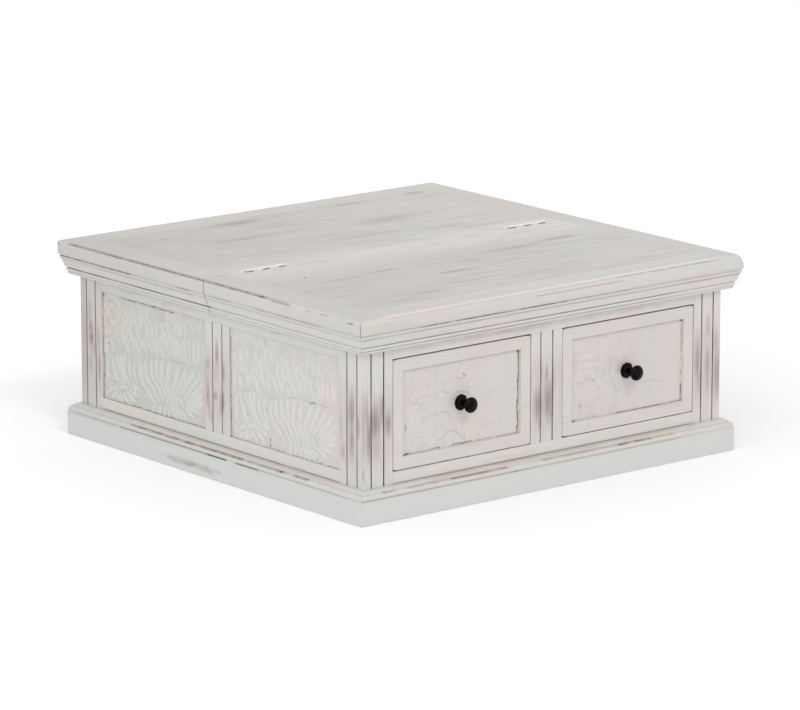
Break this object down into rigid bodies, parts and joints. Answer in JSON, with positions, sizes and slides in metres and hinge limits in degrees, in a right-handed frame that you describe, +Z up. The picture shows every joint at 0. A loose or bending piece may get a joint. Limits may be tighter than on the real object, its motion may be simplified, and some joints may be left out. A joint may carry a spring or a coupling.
{
  "type": "trunk coffee table",
  "caption": "Low square whitewashed coffee table with carved wall panels, drawers under the fixed front half of its top and a hinged lid over a trunk at the back.",
  "frame": {"origin": "on the floor, under the middle of the square top", "axes": "+Z up, -Y towards the drawer fronts, +X to the right of someone facing the drawers from the front"},
  "size_m": [0.9, 0.9, 0.3745],
  "materials": {
    "painted_wood": "white wash brushed over wood, rubbed through to brown at edges and in patches",
    "carved_wood": "old carved boards under white wash, with worn ragged edges",
    "bare_wood": "plain sanded wood, unpainted",
    "knob_iron": "gloss black",
    "painted_hinge": "steel painted over with the wood's white",
    "steel": "plain zinc-plated"
  },
  "bodies": {
    "carcass": {"corner_post_front_left": "painted_wood", "corner_post_front_right": "painted_wood", "corner_post_back_left": "painted_wood", "corner_post_back_right": "painted_wood", "front_rails": "painted_wood", "front_uprights": "painted_wood", "left_rails": "painted_wood", "left_uprights": "painted_wood", "left_panel_front": "carved_wood", "left_panel_back": "carved_wood", "right_rails": "painted_wood", "right_uprights": "painted_wood", "right_panel_front": "carved_wood", "right_panel_back": "carved_wood", "back_rails": "painted_wood", "back_uprights": "painted_wood", "back_panel_left": "carved_wood", "back_panel_right": "carved_wood", "backing_boards": "bare_wood", "plinth_front": "painted_wood", "plinth_back": "painted_wood", "plinth_left": "painted_wood", "plinth_right": "painted_wood", "bottom_board": "bare_wood", "bottom_cleats": "bare_wood", "centre_partition": "bare_wood", "drawer_divider": "bare_wood", "drawer_runners": "bare_wood", "drawer_guides": "bare_wood", "drawer_kickers": "bare_wood", "split_rail": "bare_wood", "front_top_panel": "painted_wood", "front_top_edging": "painted_wood", "front_top_moulding": "painted_wood", "hinge_fixed_leaves": "painted_hinge", "hinge_pins": "steel", "hinge_fixed_screws": "steel"},
    "drawer_left": {"drawer_left_frame": "painted_wood", "drawer_left_panel": "carved_wood", "drawer_left_sides": "bare_wood", "drawer_left_back": "bare_wood", "drawer_left_bottom": "bare_wood", "drawer_left_knob": "knob_iron", "drawer_left_knob_plate": "knob_iron", "drawer_left_knob_screw": "steel"},
    "drawer_right": {"drawer_right_frame": "painted_wood", "drawer_right_panel": "carved_wood", "drawer_right_sides": "bare_wood", "drawer_right_back": "bare_wood", "drawer_right_bottom": "bare_wood", "drawer_right_knob": "knob_iron", "drawer_right_knob_plate": "knob_iron", "drawer_right_knob_screw": "steel"},
    "lid": {"lid_panel": "painted_wood", "lid_edging": "painted_wood", "lid_moulding": "painted_wood", "lid_battens": "bare_wood", "hinge_lid_leaves": "painted_hinge", "hinge_lid_screws": "steel"}
  },
  "joints": [
    {"name": "drawer_left_slide", "type": "slide", "parent": "carcass", "child": "drawer_left", "axis": [0, -1, 0], "range_m": [0, 0.3]},
    {"name": "drawer_right_slide", "type": "slide", "parent": "carcass", "child": "drawer_right", "axis": [0, -1, 0], "range_m": [0, 0.3]},
    {"name": "lid_hinge", "type": "hinge", "parent": "carcass", "child": "lid", "pos_m": [0, 0, 0.371], "axis": [1, 0, 0], "range_deg": [0, 180]}
  ]
}
